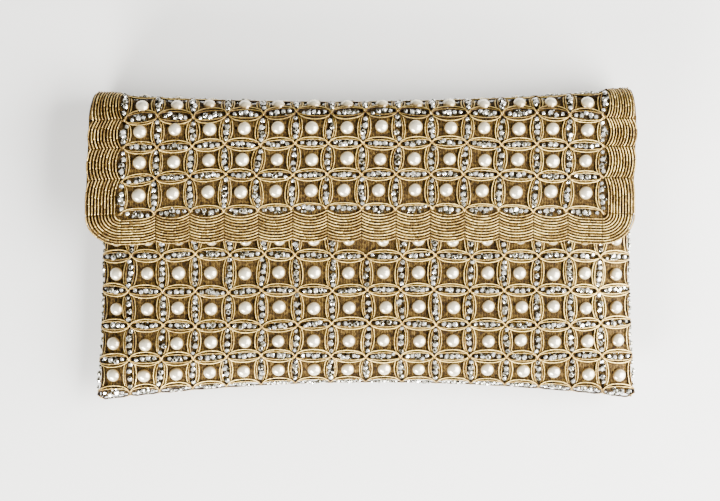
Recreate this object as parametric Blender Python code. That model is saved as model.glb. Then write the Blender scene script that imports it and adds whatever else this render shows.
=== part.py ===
"""Embroidered fold-over clutch purse, lying on its back with the flap closed.

Sizes are in metres. +X runs to the right, +Y to the folded top edge, and +Z out of
the front. Every wall is a stack of layers: an embroidered skin of cord, half pearls
and crystals, the ground fabric it is worked on, a stiffener and a satin lining. A
layer's depth is counted inwards from the outermost surface of the skin.
"""
import math

import bmesh
import bpy
from mathutils import Vector

# ---------------------------------------------------------------- driving sizes

GAP = 0.0003                    # clearance between neighbouring layers

BODY_HALF_WIDTH = 0.125         # at the bottom corners and at the fold
SIDE_DRAW_IN = 0.0028           # how far the sides pull in halfway up
BODY_HALF_DEPTH = 0.0715        # from the middle to the bottom corners and to the fold
BOTTOM_DRAW_IN = 0.007          # how far the bottom edge pulls in at the middle
BODY_THICKNESS = 0.0256         # front skin to back skin
SIDE_ROUNDING = 0.040           # width of the rounded stretch along each side
BOTTOM_ROUNDING = 0.030         # width of the rounded stretch along the bottom
ROUNDING_POWER = 2.2            # 2 is an ellipse, more is squarer
MOUTH_SETBACK = 0.0015          # front panel's top edge, short of the fold's centre

EMBROIDERY = 0.0032             # height of the cord, pearl and crystal skin
FABRIC = 0.0008
BOARD = 0.0008
LINING = 0.0006

FOLD_RADIUS = 0.013             # outer radius of the top fold's two rolls
FOLD_END_SETBACK = 0.0005       # fold strip, narrower than the body at each end
HINGE_ARC = 45.0                # degrees of roll between a hinge and its flat panel

FLAP_EDGE_Y = 0.001             # the flap's lower edge
FLAP_FLARE = 0.0045             # how much wider than the fold the flap grows on each side
FLAP_CORNER_RADIUS = 0.0196
BORDER_WIDTH = 0.0124           # bullion border round the flap
BORDER_HEIGHT = 0.0020

BOARD_INSET_TOP = 0.004         # body boards stop short of the mouth
FLAP_BOARD_INSET = 0.004
FLAP_FABRIC_INSET = 0.0004
FLAP_LINING_INSET = 0.0014

POCKET_HALF_WIDTH = 0.070       # slip pocket on the back lining
POCKET_BOTTOM_Y = -0.024
POCKET_TOP_Y = 0.040
POCKET_CORNER = 0.006

SNAP_Y = 0.0165                 # magnetic snap's centre line
SNAP_RADIUS = 0.0075
SNAP_WALL = 0.0004
SOCKET_HEIGHT = 0.0020
STUD_DISC_HEIGHT = 0.0008
STUD_PIN_RADIUS = 0.0020
STUD_PIN_CLEARANCE = 0.0012
STUD_PIN_DOME = 0.0006           # rounding at the pin's tip
SNAP_BASE_HEIGHT = 0.0004
PRONG_OFFSET = 0.0020           # prongs stand this far either side of the snap's centre
PRONG_WIDTH = 0.0018
PRONG_THICKNESS = 0.0004
PRONG_FOOT = 0.0016             # length of the foot bent over the washer
WASHER_OUTER_RADIUS = 0.0050
WASHER_INNER_RADIUS = 0.0028
WASHER_HEIGHT = 0.0003

# ---------------------------------------------------------------- worked-out sizes

FABRIC_DEPTH = EMBROIDERY + GAP
BOARD_DEPTH = FABRIC_DEPTH + FABRIC + GAP
LINING_DEPTH = BOARD_DEPTH + BOARD + GAP
WALL = LINING_DEPTH + LINING

BODY_MIDDLE_Z = BODY_THICKNESS / 2
HALF_THICKNESS = BODY_THICKNESS / 2 - GAP / 2
TOP_Z = BODY_THICKNESS + GAP + WALL
FOLD_CENTRE_Y = BODY_HALF_DEPTH - FOLD_RADIUS
BACK_ROLL_Z = FOLD_RADIUS
FRONT_ROLL_Z = TOP_Z - FOLD_RADIUS
FOLD_HALF_WIDTH = BODY_HALF_WIDTH - FOLD_END_SETBACK
MOUTH_Y = FOLD_CENTRE_Y - MOUTH_SETBACK
FLAP_LENGTH = FOLD_CENTRE_Y - FLAP_EDGE_Y

# A hinge lies just outside the fabric at the middle of its roll, so the fabric keeps
# its length as the roll opens flat.
FABRIC_ROLL_RADIUS = FOLD_RADIUS - FABRIC_DEPTH
HINGE_OFFSET = FABRIC_ROLL_RADIUS * math.pi / 4
HINGE_Y = FOLD_CENTRE_Y + HINGE_OFFSET
SPINE_HINGE_Z = BACK_ROLL_Z - HINGE_OFFSET
FLAP_HINGE_Z = FRONT_ROLL_Z + HINGE_OFFSET

# The skin stands outside the hinge, so it stops early enough for the roll to open.
SKIN_OUTSIDE_HINGE = FOLD_RADIUS - HINGE_OFFSET * math.sqrt(2)
SKIN_STOP_ANGLE = math.degrees(math.atan2(SKIN_OUTSIDE_HINGE + GAP, FOLD_RADIUS))
LAYER_STOP_ANGLE = math.degrees(GAP / 2 / (FOLD_RADIUS - WALL))

FRONT_FABRIC_Z = BODY_THICKNESS - FABRIC_DEPTH
SOCKET_BASE_Z = FRONT_FABRIC_Z + GAP
FLAP_LINING_Z = TOP_Z - WALL
STUD_DISC_TOP_Z = FLAP_LINING_Z - GAP

# ---------------------------------------------------------------- mesh resolution

ROUNDING_STEPS = 6
BOTTOM_STEPS = 5
FLAT_COLUMNS = 6
FLAT_ROWS = 4
ROLL_STEPS = 3
CORNER_STEPS = 5
FLAP_COLUMNS = 8
TURN_STEPS = 28
BOARD_SKIP_COLUMNS = 3          # of each side's rounding, left without board
BOARD_SKIP_ROWS = 2             # of the bottom's rounding, left without board


def clear_scene():
    for old in list(bpy.data.objects):
        bpy.data.objects.remove(old, do_unlink=True)


def material(name, colour, roughness, metallic):
    finish = bpy.data.materials.new(name)
    finish.use_nodes = True
    shader = finish.node_tree.nodes["Principled BSDF"]
    shader.inputs["Base Color"].default_value = (*colour, 1.0)
    shader.inputs["Roughness"].default_value = roughness
    shader.inputs["Metallic"].default_value = metallic
    return finish


def make_finishes():
    return {
        "skin": material("gold_embroidery", (0.58, 0.46, 0.27), 0.40, 0.6),
        "border": material("gold_bullion", (0.62, 0.48, 0.25), 0.35, 0.8),
        "fabric": material("tan_ground_fabric", (0.42, 0.30, 0.15), 0.85, 0.0),
        "board": material("grey_board", (0.55, 0.52, 0.46), 0.90, 0.0),
        "lining": material("champagne_satin", (0.72, 0.61, 0.43), 0.45, 0.0),
        "brass": material("plated_snap", (0.80, 0.62, 0.32), 0.25, 1.0),
        "magnet": material("ring_magnet", (0.12, 0.12, 0.13), 0.55, 0.6),
    }


def add_object(name, bm, finish, parent=None):
    """Turn a bmesh given in world coordinates into a named object."""
    bmesh.ops.recalc_face_normals(bm, faces=bm.faces)
    mesh = bpy.data.meshes.new(name)
    if parent is not None:
        bmesh.ops.translate(bm, verts=bm.verts, vec=-parent.location)
    bm.to_mesh(mesh)
    bm.free()
    piece = bpy.data.objects.new(name, mesh)
    bpy.context.scene.collection.objects.link(piece)
    piece.data.materials.append(finish)
    if parent is not None:
        piece.parent = parent
    return piece


def smooth(piece, angle=35.0):
    piece.data.shade_smooth()
    piece.data.set_sharp_from_angle(angle=math.radians(angle))
    return piece


def add_axis(name, y, z):
    """An empty on a hinge line, which its moving pieces hang from."""
    axis = bpy.data.objects.new(name, None)
    axis.location = (0.0, y, z)
    bpy.context.scene.collection.objects.link(axis)
    return axis


def rounding(step, steps):
    """Share of the rounding's width and of the full height, at a step from the edge."""
    angle = math.pi / 2 * step / steps
    power = 2 / ROUNDING_POWER
    return 1 - math.cos(angle) ** power, math.sin(angle) ** power


def layered_grid(columns, rows, place, outer_depth, inner_depth):
    """A sheet with thickness: two matching grids whose borders are bridged.

    The left half's cells are split one way and the right half's the other, so both
    bottom corners have a crease that runs in from the corner.
    """
    bm = bmesh.new()
    for depth in (outer_depth, inner_depth):
        grid = bmesh.ops.create_grid(bm, x_segments=columns, y_segments=rows, size=1.0)
        faces = list({face for vert in grid["verts"] for face in vert.link_faces})
        left = [face for face in faces if face.calc_center_median().x < 0]
        right = [face for face in faces if face.calc_center_median().x >= 0]
        for vert in grid["verts"]:
            column = round((vert.co.x + 1) / 2 * columns)
            row = round((vert.co.y + 1) / 2 * rows)
            vert.co = place(column, row, depth)
        bmesh.ops.triangulate(bm, faces=left, quad_method="FIXED")
        bmesh.ops.triangulate(bm, faces=right, quad_method="ALTERNATE")
    rim = [edge for edge in bm.edges if edge.is_boundary]
    bmesh.ops.bridge_loops(bm, edges=rim)
    return bm


# ---------------------------------------------------------------- body shells


def half_width(y):
    """Half the body's width, drawn in between its bottom corners and the fold."""
    share = max(-1.0, min(1.0, y / BODY_HALF_DEPTH))
    return BODY_HALF_WIDTH - SIDE_DRAW_IN * (1 - share * share)


def bottom_y(x):
    """The bottom edge, drawn in between its corners."""
    share = max(-1.0, min(1.0, x / BODY_HALF_WIDTH))
    return -BODY_HALF_DEPTH + BOTTOM_DRAW_IN * (1 - share * share)


def across(column, edge):
    """A column's x between the two edges, and its share of the full height."""
    last = 2 * ROUNDING_STEPS + FLAT_COLUMNS
    from_edge = min(column, last - column)
    side = -1.0 if column < last / 2 else 1.0
    if from_edge < ROUNDING_STEPS:
        width, height = rounding(from_edge, ROUNDING_STEPS)
        return side * (edge - SIDE_ROUNDING * width), height
    share = (column - ROUNDING_STEPS) / FLAT_COLUMNS * 2 - 1
    return share * (edge - SIDE_ROUNDING), 1.0


def along(row, bottom, top):
    """A row's y between the bottom edge and the top, and its share of the full height."""
    if row < BOTTOM_STEPS:
        width, height = rounding(row, BOTTOM_STEPS)
        return bottom + BOTTOM_ROUNDING * width, height
    share = (row - BOTTOM_STEPS) / FLAT_ROWS
    start = bottom + BOTTOM_ROUNDING
    return start + (top - start) * share, 1.0


def body_point(column, row, depth, side, top):
    """A point of the pillow-shaped body: side is +1 for the front, -1 for the back."""
    nominal_x, _ = across(column, BODY_HALF_WIDTH)
    nominal_y, _ = along(row, -BODY_HALF_DEPTH, top)
    x, side_height = across(column, half_width(nominal_y) - depth)
    y, bottom_height = along(row, bottom_y(nominal_x) + depth, top)
    rise = (HALF_THICKNESS - depth) * side_height * bottom_height
    return Vector((x, y, BODY_MIDDLE_Z + side * (GAP / 2 + rise)))


def front_shell(name, outer_depth, inner_depth, finish):
    """The front half of one body layer, from the side seam to the mouth."""
    def place(column, row, depth):
        return body_point(column, row, depth, 1.0, MOUTH_Y)
    columns = 2 * ROUNDING_STEPS + FLAT_COLUMNS
    rows = BOTTOM_STEPS + FLAT_ROWS
    bm = layered_grid(columns, rows, place, outer_depth, inner_depth)
    return smooth(add_object(name, bm, finish))


def back_shell(name, outer_depth, inner_depth, stop_angle, finish):
    """The back half of one body layer, with the first eighth-turn of the fold."""
    flat_rows = BOTTOM_STEPS + FLAT_ROWS
    shared_sweep = math.radians(HINGE_ARC - SKIN_STOP_ANGLE)
    turns = [shared_sweep * step / ROLL_STEPS for step in range(1, ROLL_STEPS + 1)]
    if stop_angle < SKIN_STOP_ANGLE:
        turns.append(math.radians(HINGE_ARC - stop_angle))

    def place(column, row, depth):
        x, side_height = across(column, half_width(FOLD_CENTRE_Y) - depth)
        if row < flat_rows:
            return body_point(column, row, depth, -1.0, FOLD_CENTRE_Y)
        if row == flat_rows:
            # Where the side walls end, a deeper layer ends further in.
            point = body_point(column, row, depth, -1.0, FOLD_CENTRE_Y)
            point.y -= depth * (1 - side_height)
            return point
        turn = turns[row - flat_rows - 1]
        radius = FOLD_RADIUS - depth
        y = FOLD_CENTRE_Y + radius * math.sin(turn)
        return Vector((x, y, BACK_ROLL_Z - radius * math.cos(turn)))

    columns = 2 * ROUNDING_STEPS + FLAT_COLUMNS
    bm = layered_grid(columns, flat_rows + len(turns), place, outer_depth, inner_depth)
    return smooth(add_object(name, bm, finish))


def body_board(name, side, finish):
    """A stiffener that follows the panel's crown and stops short of its rounded edges."""
    def place(column, row, depth):
        board_top = MOUTH_Y - BOARD_INSET_TOP
        return body_point(column + BOARD_SKIP_COLUMNS, row + BOARD_SKIP_ROWS, depth, side, board_top)

    columns = 2 * (ROUNDING_STEPS - BOARD_SKIP_COLUMNS) + FLAT_COLUMNS
    rows = BOTTOM_STEPS - BOARD_SKIP_ROWS + FLAT_ROWS
    bm = layered_grid(columns, rows, place, BOARD_DEPTH, BOARD_DEPTH + BOARD)
    return add_object(name, bm, finish)


# ---------------------------------------------------------------- top fold and flap


def spine_layer(name, outer_depth, inner_depth, stop_angle, finish, parent):
    """The fold's middle: the end of the back roll, a straight wall and a front roll."""
    start = math.radians(HINGE_ARC + stop_angle)
    sweep = math.pi / 2 - start
    rows = 2 * ROLL_STEPS + 1

    def place(column, row, depth):
        radius = FOLD_RADIUS - depth
        x = (column / FLAP_COLUMNS * 2 - 1) * (FOLD_HALF_WIDTH - depth)
        if row <= ROLL_STEPS:
            turn = start + sweep * row / ROLL_STEPS
            centre = BACK_ROLL_Z
        else:
            turn = math.pi / 2 + sweep * (row - ROLL_STEPS - 1) / ROLL_STEPS
            centre = FRONT_ROLL_Z
        return Vector((x, FOLD_CENTRE_Y + radius * math.sin(turn), centre - radius * math.cos(turn)))

    bm = layered_grid(FLAP_COLUMNS, rows, place, outer_depth, inner_depth)
    return smooth(add_object(name, bm, finish, parent))


def flap_point(x, run, depth):
    """A point at a run from the front roll's end: forwards on the flat, back on the roll."""
    if run >= 0:
        return Vector((x, FOLD_CENTRE_Y - run, TOP_Z - depth))
    turn = -run / FABRIC_ROLL_RADIUS
    radius = FOLD_RADIUS - depth
    return Vector((x, FOLD_CENTRE_Y + radius * math.sin(turn), FRONT_ROLL_Z + radius * math.cos(turn)))


def flap_outline(inset, stop_angle):
    """Runs and half widths down one side of the flap, from the hinge to the lower edge."""
    corner = max(FLAP_CORNER_RADIUS - inset, GAP)
    length = FLAP_LENGTH - inset
    straight = length - corner
    roll = FABRIC_ROLL_RADIUS * math.radians(HINGE_ARC - stop_angle)
    outline = []
    for step in range(ROLL_STEPS):
        outline.append((-roll * (1 - step / ROLL_STEPS), FOLD_HALF_WIDTH - inset))
    for step in range(FLAT_ROWS + 1):
        share = step / FLAT_ROWS
        flare = FLAP_FLARE * math.sin(share * math.pi / 2)
        outline.append((straight * share, FOLD_HALF_WIDTH + flare - inset))
    widest = FOLD_HALF_WIDTH + FLAP_FLARE - inset
    for step in range(1, CORNER_STEPS + 1):
        turn = math.pi / 2 * step / CORNER_STEPS
        run = straight + corner * math.sin(turn)
        outline.append((run, widest - corner * (1 - math.cos(turn))))
    return outline


def flap_layer(name, outer_depth, inner_depth, inset, stop_angle, finish, parent):
    """One full layer of the flap, with its share of the front roll."""
    outline = flap_outline(inset, stop_angle)

    def place(column, row, depth):
        run, half = outline[row]
        return flap_point((column / FLAP_COLUMNS * 2 - 1) * half, run, depth)

    bm = layered_grid(FLAP_COLUMNS, len(outline) - 1, place, outer_depth, inner_depth)
    return smooth(add_object(name, bm, finish, parent))


def flap_board(name, finish, parent):
    """The flap's stiffener: flat only, so the fold stays soft."""
    outline = [pair for pair in flap_outline(FLAP_BOARD_INSET, 0.0) if pair[0] >= 0]
    outline[0] = (FLAP_BOARD_INSET, outline[0][1])

    def place(column, row, depth):
        run, half = outline[row]
        return flap_point((column / FLAP_COLUMNS * 2 - 1) * half, run, depth)

    rows = len(outline) - 1
    bm = layered_grid(FLAP_COLUMNS, rows, place, BOARD_DEPTH, BOARD_DEPTH + BOARD)
    return add_object(name, bm, finish, parent)


def flap_border(name, finish, parent):
    """The bullion band down both sides and along the lower edge, as one strip."""
    outer = flap_outline(0.0, SKIN_STOP_ANGLE)
    inner = flap_outline(BORDER_WIDTH, SKIN_STOP_ANGLE)
    left = [((-a[1], a[0]), (-b[1], b[0])) for a, b in zip(outer, inner)]
    right = [((a[1], a[0]), (b[1], b[0])) for a, b in zip(outer, inner)]
    stations = left + right[::-1]

    def place(column, row, depth):
        x, run = stations[row][column]
        return flap_point(x, run, depth)

    bm = layered_grid(1, len(stations) - 1, place, EMBROIDERY - BORDER_HEIGHT, EMBROIDERY)
    return smooth(add_object(name, bm, finish, parent))


# ---------------------------------------------------------------- slip pocket and snap


def box_mesh(low, high):
    bm = bmesh.new()
    bmesh.ops.create_cube(bm, size=1.0)
    low, high = Vector(low), Vector(high)
    bmesh.ops.scale(bm, verts=bm.verts, vec=high - low)
    bmesh.ops.translate(bm, verts=bm.verts, vec=(low + high) / 2)
    return bm


def slip_pocket(finish):
    """A flat pocket sewn on the back lining, lying empty against it."""
    low_z = WALL + GAP
    low = (-POCKET_HALF_WIDTH, POCKET_BOTTOM_Y, low_z)
    bm = box_mesh(low, (POCKET_HALF_WIDTH, POCKET_TOP_Y, low_z + LINING))
    corners = [
        edge for edge in bm.edges
        if abs(edge.verts[0].co.z - edge.verts[1].co.z) > LINING / 2 and edge.verts[0].co.y < 0
    ]
    bmesh.ops.bevel(bm, geom=corners, offset=POCKET_CORNER, segments=4, profile=0.5,
                    affect="EDGES", material=-1)
    return add_object("slip_pocket", bm, finish)


def turned(name, profile, finish, parent=None):
    """Spin a profile of (radius, z) points about the snap's centre line."""
    bm = bmesh.new()
    verts = [bm.verts.new((radius, SNAP_Y, z)) for radius, z in profile]
    edges = [bm.edges.new(pair) for pair in zip(verts, verts[1:])]
    if profile[0][0] > 0:
        edges.append(bm.edges.new((verts[-1], verts[0])))
    bmesh.ops.spin(bm, geom=verts + edges, cent=(0.0, SNAP_Y, 0.0), axis=(0.0, 0.0, 1.0),
                   angle=math.tau, steps=TURN_STEPS, use_merge=True)
    bmesh.ops.remove_doubles(bm, verts=bm.verts, dist=1e-6)
    return smooth(add_object(name, bm, finish, parent))


def ring_profile(inner, outer, low, high):
    return [(inner, low), (outer, low), (outer, high), (inner, high)]


def disc_profile(radius, low, high):
    return [(0.0, low), (radius, low), (radius, high), (0.0, high)]


def helper(piece):
    """Mark an object as a cutter or an addition, which is no piece of its own."""
    piece.hide_render = True
    piece.display_type = "WIRE"
    return piece


def combine(piece, other, operation):
    modifier = piece.modifiers.new(other.name, "BOOLEAN")
    modifier.operation = operation
    modifier.object = other
    modifier.solver = "EXACT"


def prong(name, side, root_z, foot_z, finish, parent):
    """One bent prong: a strip through the layers and a foot turned out over the washer."""
    direction = 1.0 if foot_z > root_z else -1.0
    inner = PRONG_OFFSET - PRONG_THICKNESS / 2
    outer = PRONG_OFFSET + PRONG_THICKNESS / 2
    foot_top = foot_z + direction * PRONG_THICKNESS
    profile = [(inner, root_z), (outer, root_z), (outer, foot_z),
               (outer + PRONG_FOOT, foot_z), (outer + PRONG_FOOT, foot_top), (inner, foot_top)]
    bm = bmesh.new()
    low_y = SNAP_Y - PRONG_WIDTH / 2
    outline = bm.faces.new([bm.verts.new((side * x, low_y, z)) for x, z in profile])
    swept = bmesh.ops.extrude_face_region(bm, geom=[outline])
    moved = [item for item in swept["geom"] if isinstance(item, bmesh.types.BMVert)]
    bmesh.ops.translate(bm, verts=moved, vec=(0.0, PRONG_WIDTH, 0.0))
    return helper(add_object(name, bm, finish, parent))


def add_prongs(piece, name, root_z, foot_z, finish, parent=None):
    for side, end in ((-1.0, "left"), (1.0, "right")):
        strip = prong(f"{name}_{end}", side, root_z, foot_z, finish, parent)
        combine(piece, strip, "UNION")


def cut_slits(piece, name, low_z, high_z, finish):
    """Two slits that let a snap's prongs through a soft layer."""
    for side, end in ((-1.0, "left"), (1.0, "right")):
        x = side * PRONG_OFFSET
        reach = PRONG_THICKNESS / 2 + GAP
        half = PRONG_WIDTH / 2 + GAP
        bm = box_mesh((x - reach, SNAP_Y - half, low_z), (x + reach, SNAP_Y + half, high_z))
        combine(piece, helper(add_object(f"{name}_{end}", bm, finish)), "DIFFERENCE")


def cut_hole(piece, name, radius, low_z, high_z, finish):
    cutter = turned(name, disc_profile(radius, low_z, high_z), finish)
    combine(piece, helper(cutter), "DIFFERENCE")


def snap_socket(finishes, skin, fabric, board):
    """The magnetic half: a cup over a ring magnet, prongs through the front, a washer."""
    brass = finishes["brass"]
    base_top = SOCKET_BASE_Z + SNAP_BASE_HEIGHT
    case_top = SOCKET_BASE_Z + SOCKET_HEIGHT
    bore = STUD_PIN_RADIUS + STUD_PIN_CLEARANCE
    inside = SNAP_RADIUS - SNAP_WALL
    case = [(bore, case_top - SNAP_WALL), (inside, case_top - SNAP_WALL), (inside, SOCKET_BASE_Z),
            (SNAP_RADIUS, SOCKET_BASE_Z), (SNAP_RADIUS, case_top), (bore, case_top)]
    turned("snap_socket_case", case, brass)
    magnet = ring_profile(bore, inside - GAP, base_top + GAP, case_top - SNAP_WALL - GAP)
    turned("snap_magnet", magnet, finishes["magnet"])
    base = turned("snap_socket_base", disc_profile(inside - GAP, SOCKET_BASE_Z, base_top), brass)
    washer_top = FRONT_FABRIC_Z - FABRIC - GAP
    washer_low = washer_top - WASHER_HEIGHT
    turned("snap_socket_washer",
           ring_profile(WASHER_INNER_RADIUS, WASHER_OUTER_RADIUS, washer_low, washer_top), brass)
    root = SOCKET_BASE_Z + SNAP_BASE_HEIGHT / 2
    add_prongs(base, "socket_prong", root, washer_low - GAP / 2, brass)
    cut_hole(skin, "skin_hole", SNAP_RADIUS + GAP, FRONT_FABRIC_Z, BODY_THICKNESS + GAP, brass)
    cut_slits(fabric, "fabric_slit", FRONT_FABRIC_Z - FABRIC - GAP, FRONT_FABRIC_Z + GAP, brass)
    board_top = BODY_THICKNESS - BOARD_DEPTH
    cut_hole(board, "board_hole", WASHER_OUTER_RADIUS + GAP,
             board_top - BOARD - GAP, board_top + GAP, brass)


def snap_stud(finishes, lining, board, parent):
    """The plain half on the flap: a disc and pin, prongs through the lining, a washer."""
    brass = finishes["brass"]
    disc_low = STUD_DISC_TOP_Z - STUD_DISC_HEIGHT
    pin_low = SOCKET_BASE_Z + SNAP_BASE_HEIGHT + GAP
    dome = STUD_PIN_DOME
    profile = [(0.0, pin_low), (STUD_PIN_RADIUS - dome, pin_low), (STUD_PIN_RADIUS, pin_low + dome),
               (STUD_PIN_RADIUS, disc_low), (SNAP_RADIUS, disc_low),
               (SNAP_RADIUS, STUD_DISC_TOP_Z), (0.0, STUD_DISC_TOP_Z)]
    stud = turned("snap_stud", profile, brass, parent)
    washer_low = FLAP_LINING_Z + LINING + GAP
    washer_top = washer_low + WASHER_HEIGHT
    turned("snap_stud_washer",
           ring_profile(WASHER_INNER_RADIUS, WASHER_OUTER_RADIUS, washer_low, washer_top),
           brass, parent)
    root = STUD_DISC_TOP_Z - STUD_DISC_HEIGHT / 2
    add_prongs(stud, "stud_prong", root, washer_top + GAP / 2, brass, parent)
    cut_slits(lining, "lining_slit", FLAP_LINING_Z - GAP, FLAP_LINING_Z + LINING + GAP, brass)
    board_low = TOP_Z - BOARD_DEPTH - BOARD
    cut_hole(board, "flap_board_hole", WASHER_OUTER_RADIUS + GAP,
             board_low - GAP, board_low + BOARD + GAP, brass)


def build():
    clear_scene()
    finishes = make_finishes()
    skin, fabric, lining = finishes["skin"], finishes["fabric"], finishes["lining"]

    back_shell("back_embroidery", 0.0, EMBROIDERY, SKIN_STOP_ANGLE, skin)
    back_shell("back_fabric", FABRIC_DEPTH, FABRIC_DEPTH + FABRIC, LAYER_STOP_ANGLE, fabric)
    body_board("back_board", -1.0, finishes["board"])
    back_shell("back_lining", LINING_DEPTH, WALL, LAYER_STOP_ANGLE, lining)
    slip_pocket(lining)

    front_skin = front_shell("front_embroidery", 0.0, EMBROIDERY, skin)
    front_fabric = front_shell("front_fabric", FABRIC_DEPTH, FABRIC_DEPTH + FABRIC, fabric)
    front_board = body_board("front_board", 1.0, finishes["board"])
    front_shell("front_lining", LINING_DEPTH, WALL, lining)
    snap_socket(finishes, front_skin, front_fabric, front_board)

    spine = add_axis("spine_fold_axis", HINGE_Y, SPINE_HINGE_Z)
    spine_layer("fold_embroidery", 0.0, EMBROIDERY, SKIN_STOP_ANGLE, skin, spine)
    spine_layer("fold_fabric", FABRIC_DEPTH, FABRIC_DEPTH + FABRIC, LAYER_STOP_ANGLE, fabric, spine)
    spine_layer("fold_interlining", BOARD_DEPTH, BOARD_DEPTH + BOARD, LAYER_STOP_ANGLE,
                finishes["board"], spine)
    spine_layer("fold_lining", LINING_DEPTH, WALL, LAYER_STOP_ANGLE, lining, spine)

    flap = add_axis("flap_fold_axis", HINGE_Y, FLAP_HINGE_Z)
    flap_layer("flap_embroidery", 0.0, EMBROIDERY, BORDER_WIDTH + GAP, SKIN_STOP_ANGLE, skin, flap)
    flap_border("flap_border", finishes["border"], flap)
    flap_layer("flap_fabric", FABRIC_DEPTH, FABRIC_DEPTH + FABRIC, FLAP_FABRIC_INSET,
               LAYER_STOP_ANGLE, fabric, flap)
    board = flap_board("flap_board", finishes["board"], flap)
    flap_lining = flap_layer("flap_lining", LINING_DEPTH, WALL, FLAP_LINING_INSET,
                             LAYER_STOP_ANGLE, lining, flap)
    snap_stud(finishes, flap_lining, board, flap)


build()
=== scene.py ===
"""The looks of an embroidered clutch purse: pearls, crystals and bullion cord on a folded fabric body."""
import math

import bmesh
import bpy
import numpy as np
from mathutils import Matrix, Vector


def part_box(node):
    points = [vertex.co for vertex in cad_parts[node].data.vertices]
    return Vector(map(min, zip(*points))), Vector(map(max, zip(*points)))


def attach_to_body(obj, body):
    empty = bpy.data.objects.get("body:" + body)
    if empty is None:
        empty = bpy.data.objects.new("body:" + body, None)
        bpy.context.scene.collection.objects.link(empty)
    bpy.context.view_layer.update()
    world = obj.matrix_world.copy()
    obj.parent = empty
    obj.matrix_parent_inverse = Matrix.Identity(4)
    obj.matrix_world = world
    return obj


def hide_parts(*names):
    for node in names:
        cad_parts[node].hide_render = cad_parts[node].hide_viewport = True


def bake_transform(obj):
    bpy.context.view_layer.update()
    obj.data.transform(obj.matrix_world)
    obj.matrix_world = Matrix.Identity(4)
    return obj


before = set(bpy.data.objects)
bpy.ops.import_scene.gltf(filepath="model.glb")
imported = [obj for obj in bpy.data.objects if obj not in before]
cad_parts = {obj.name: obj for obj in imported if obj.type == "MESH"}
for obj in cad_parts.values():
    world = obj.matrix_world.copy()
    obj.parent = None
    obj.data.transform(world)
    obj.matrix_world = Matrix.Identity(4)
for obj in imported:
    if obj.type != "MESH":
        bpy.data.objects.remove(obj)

bl_info = {
    "name": "Embroidered Clutch",
    "version": (1, 0, 0),
    "blender": (4, 5, 0),
    "location": "View3D > Sidebar > Clutch",
    "description": "Dresses the clutch purse with its embroidery, fabrics, linings and stage",
    "category": "Add Mesh",
}

# ---------------------------------------------------------------- the body's shape, in metres

HALF_WIDTH = 0.125
SIDE_DRAW_IN = 0.0028
HALF_DEPTH = 0.0715
BOTTOM_DRAW_IN = 0.007
MIDDLE_Z = 0.0128
HALF_THICKNESS = 0.01265
SEAM_GAP = 0.00015
SIDE_ROUNDING = 0.040
BOTTOM_ROUNDING = 0.030
POWER = 2.2
BEADS = 0.0033                  # from the fabric's face to the outermost beads
EDGE_INSET = 0.0012             # from the outline of the body to its fabric's seams
BODY_SHIFT = 0.0008             # the panels sit this far to the right of the fold's middle
BODY_STRETCH = 1.006            # and are this much wider than the flap's own rows make them
SIDE_EXTRA = 0.0020             # how far the beaded seams stand out past the fabric's outline
BOTTOM_EXTRA = 0.0007           # the same along the bottom seam
FOLD_PROUD = 0.0018             # how far the fold bellies out past its roll
BORDER_PAD = 0.0020             # and how much more its padded border does
FOLD_RADIUS = 0.013
BACK_ROLL_Z = 0.013
FRONT_ROLL_Z = 0.0192
TOP_Z = 0.0322
MOUTH_Y = 0.057

# The top fold, bowed in between its corners
FOLD_MID_Y = 0.054
FOLD_BOW = 0.0045
FOLD_TILT = 0.0010
ROLL = FOLD_RADIUS - BEADS
ROLL_ARC = ROLL * math.pi / 2
WALL_ARC = FRONT_ROLL_Z - BACK_ROLL_Z
WRAP = 2 * ROLL_ARC + WALL_ARC

# The embroidery's rows. Front rows count up from the bottom seam. Chain rows run from the flap's
# lowest row, over the fold and down the back to the bottom seam.
FRONT_PETALS = [0.0016, 0.0146, 0.0294, 0.0451, 0.0611, 0.0755, 0.0895, 0.1045, 0.1195]
FRONT_PEARLS = [0.0079, 0.0215, 0.0373, 0.0530, 0.0688, 0.0828, 0.0970, 0.1120]
FLAP_ROW_Y = 0.014
CHAIN_FOLD = 0.0767
CHAIN_SPREAD_FROM = 0.0513
CHAIN_END = 0.1977
CHAIN_PETALS = [0.0, 0.0181, 0.0328, 0.0460, 0.0575, 0.0702, 0.0838,
                0.0979, 0.1120, 0.1262, 0.1403, 0.1545, 0.1686, 0.1828]
CHAIN_PEARLS = [0.0108, 0.0254, 0.0402, 0.0513, 0.0637, 0.0767, 0.0908,
                0.1050, 0.1191, 0.1333, 0.1474, 0.1615, 0.1757, 0.1898]
FLAP_PITCH = 0.0161
FLAP_SHIFT = -0.0014
COLUMNS = 8                     # cells from the middle to the side seam
FLAP_COLUMNS = 7
FOLD_SHEETS_MEET = WRAP / 2

# Where one shape eases into another: the start of the change and its length
BACK_BOWS = (0.052, 0.069)      # up the back, its rows come to follow the fold's bow
BACK_SPREADS = (0.087, 0.034)   # they spread to the fold's width
BACK_FLATTENS = (0.0465, 0.012)  # and the back's sides stop being rounded
PAD_STARTS = (0.1115, 0.004)    # across the fold, onto its padded border
BORDER_CLOSES = (0.038, 0.024)  # along the chain of rows, the border's width closes up
BORDER_OPENS = (0.064, 0.0127)  # and opens a little again
MEETS_BACK = (0.060, 0.040)     # the flap's columns come to meet the back's
LOW_PART_TOP, LOW_PART_EASE = 0.060, 0.020
SAG_TOP, SAG_EASE = 0.075, 0.055
FLAP_SHIFT_TOP, FLAP_SHIFT_EASE = 0.052, 0.048
CORNER_EASE = 0.008             # lengths from a seam over which its own shape dies away
SEAM_EASE = 0.006
BOTTOM_EASE = 0.005
LOW_ROW_EASE = 0.011

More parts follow.
